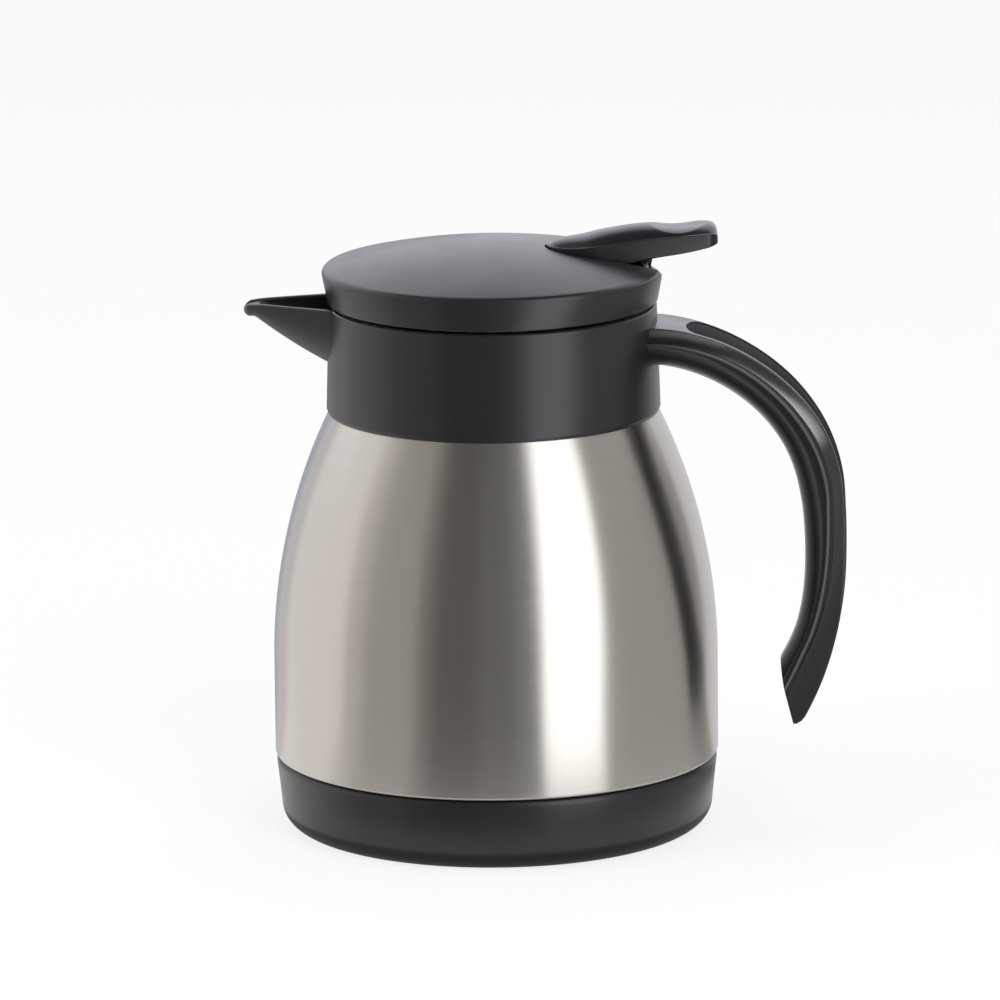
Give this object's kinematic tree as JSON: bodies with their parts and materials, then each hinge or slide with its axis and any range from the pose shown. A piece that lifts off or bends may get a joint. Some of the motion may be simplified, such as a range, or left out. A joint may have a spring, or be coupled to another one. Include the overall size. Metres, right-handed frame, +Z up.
{
  "type": "insulated coffee pot",
  "caption": "Vacuum-walled steel table coffee pot with black foot, spouted collar, open C handle, screw lid and thumb lever that lifts a sprung pouring valve.",
  "frame": {"origin": "centre of the foot of the pot, on the surface it stands on", "axes": "+Z up along the axis of the body, +X towards the handle, -X towards the spout"},
  "size_m": [0.1486, 0.11, 0.1504],
  "materials": {
    "brushed_shell": "fine brushing round the body",
    "flask_steel": "dull drawn steel",
    "solder": "dull solder",
    "getter_metal": "matt sintered pill",
    "black_satin": "satin moulded",
    "black_gloss": "half gloss moulded",
    "lever_black": "satin gloss moulded",
    "inlay_black": "matt moulded strip",
    "stopper_black": "plain moulded",
    "silicone": "translucent white silicone",
    "screw_steel": "plain steel"
  },
  "bodies": {
    "pot": {"outer_shell": "brushed_shell", "inner_flask": "flask_steel", "bottom_plate": "flask_steel", "seal_bead": "solder", "getter": "getter_metal", "base_cap": "black_satin", "collar": "black_satin", "collar_gasket": "silicone", "handle": "black_gloss", "handle_inlay": "inlay_black", "handle_screws": "screw_steel"},
    "seals": {"plug_gasket": "silicone", "rim_seal": "silicone"},
    "lid": {"lid_cover": "black_satin", "lever_pin": "screw_steel", "plug_body": "stopper_black", "splash_plate": "stopper_black", "valve_spring": "screw_steel"},
    "lever": {"lever": "lever_black"},
    "valve": {"valve_stem": "screw_steel", "stem_cap": "stopper_black", "valve_disc": "stopper_black", "valve_gasket": "silicone", "valve_nut": "screw_steel"}
  },
  "joints": [
    {"name": "lid_rise", "type": "slide", "parent": "pot", "child": "seals", "axis": [0, 0, 1], "range_m": [-0.00032, 0.0321]},
    {"name": "lid_turn", "type": "hinge", "parent": "seals", "child": "lid", "pos_m": [0, 0, 0.132], "axis": [0, 0, 1], "range_deg": [-7, 720]},
    {"name": "lever_press", "type": "hinge", "parent": "lid", "child": "lever", "pos_m": [0.02184, 0.00268, 0.1362], "axis": [-0.1219, 0.9925, 0], "range_deg": [0, 8]},
    {"name": "valve_lift", "type": "slide", "parent": "lid", "child": "valve", "axis": [0, 0, 1], "range_m": [0, 0.0031], "stiffness_N_per_m": 5, "springref_m": -0.002, "deforming": ["valve_spring"]}
  ],
  "couplings": [
    {"joint": "lid_rise", "follows": "lid_turn", "m_per_rad": 0.0025465},
    {"joint": "valve_lift", "follows": "lever_press", "m_per_rad": 0.022}
  ]
}
